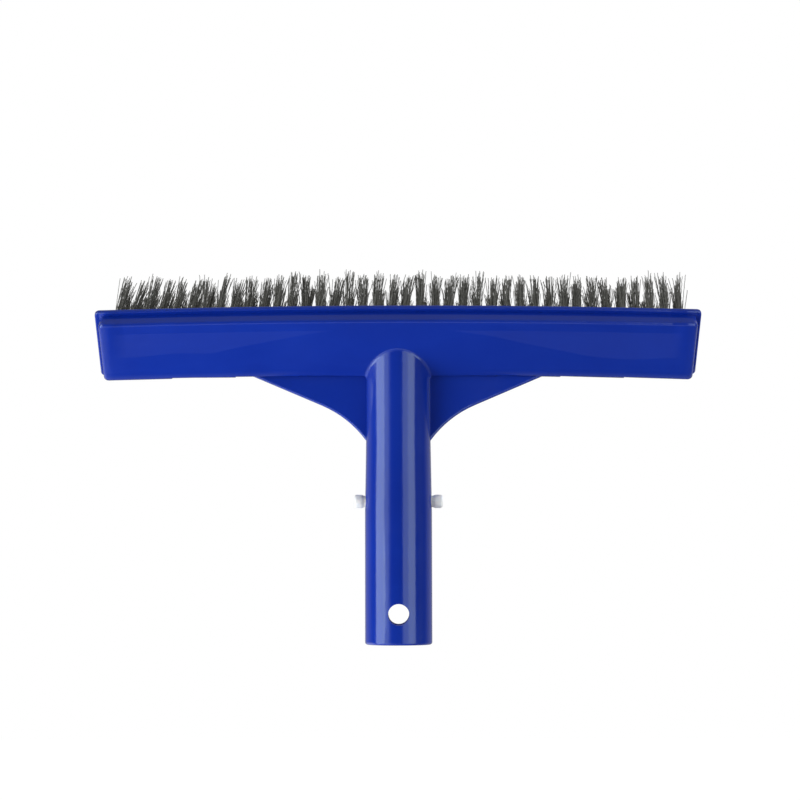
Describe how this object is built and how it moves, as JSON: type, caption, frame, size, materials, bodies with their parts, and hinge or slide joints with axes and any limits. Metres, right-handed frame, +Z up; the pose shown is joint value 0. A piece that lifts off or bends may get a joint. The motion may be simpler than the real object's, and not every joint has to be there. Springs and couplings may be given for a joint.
{
  "type": "pool wall brush",
  "caption": "Pool wall brush head: long bristled back plate at 45 degrees on a round pole spigot, braced by two webs, with a spring lock.",
  "frame": {"origin": "centre of the spigot's mouth", "axes": "+Z up the spigot's axis from its mouth to the head, +X along the head, +Y to the side that the bristles lean to"},
  "size_m": [0.254, 0.0458, 0.158],
  "materials": {
    "blue_plastic": "glossy moulded plastic",
    "bristle_wire": "crimped dark steel wire",
    "anchor_wire": "flat wire",
    "spring_steel": "stainless strip",
    "nylon": "translucent natural nylon"
  },
  "bodies": {
    "head": {"brush_head": "blue_plastic", "lock_spring": "spring_steel", "tuft_row_1": "bristle_wire", "tuft_row_2": "bristle_wire", "tuft_row_3": "bristle_wire", "tuft_row_4": "bristle_wire", "tuft_row_5": "bristle_wire", "anchor_row_1": "anchor_wire", "anchor_row_2": "anchor_wire", "anchor_row_3": "anchor_wire", "anchor_row_4": "anchor_wire", "anchor_row_5": "anchor_wire"},
    "right_pin": {"pin_right": "nylon"},
    "left_pin": {"pin_left": "nylon"}
  },
  "joints": [
    {"name": "pin_right_press", "type": "slide", "parent": "head", "child": "right_pin", "axis": [-1, 0, 0], "range_m": [0, 0.0047], "stiffness_N_per_m": 1800, "springref_m": -0.003, "deforming": ["lock_spring"]},
    {"name": "pin_left_press", "type": "slide", "parent": "head", "child": "left_pin", "axis": [1, 0, 0], "range_m": [0, 0.0047], "stiffness_N_per_m": 1800, "springref_m": -0.003, "deforming": ["lock_spring"]}
  ]
}
